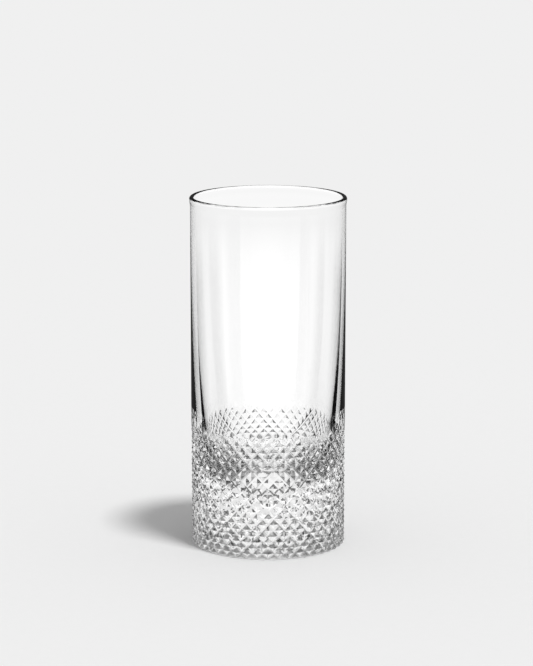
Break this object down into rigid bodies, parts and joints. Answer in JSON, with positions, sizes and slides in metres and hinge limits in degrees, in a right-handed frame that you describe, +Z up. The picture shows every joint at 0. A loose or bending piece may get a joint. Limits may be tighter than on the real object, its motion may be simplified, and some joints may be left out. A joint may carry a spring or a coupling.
{
  "type": "highball glass",
  "caption": "Tall straight highball glass of clear crystal, with a heavy base and a diamond-cut lower third.",
  "frame": {"origin": "centre of the foot, on the table that the glass stands on", "axes": "+Z up the glass's axis to the lip; -Y towards the viewer of the picture, +X to that viewer's right"},
  "size_m": [0.0666, 0.0666, 0.15],
  "materials": {
    "clear_glass": "fire-polished clear crystal",
    "cut_glass": "wheel-cut and polished clear crystal"
  },
  "bodies": {
    "root": {"plain_wall": "clear_glass", "cut_wall": "cut_glass", "base": "cut_glass"}
  },
  "joints": []
}
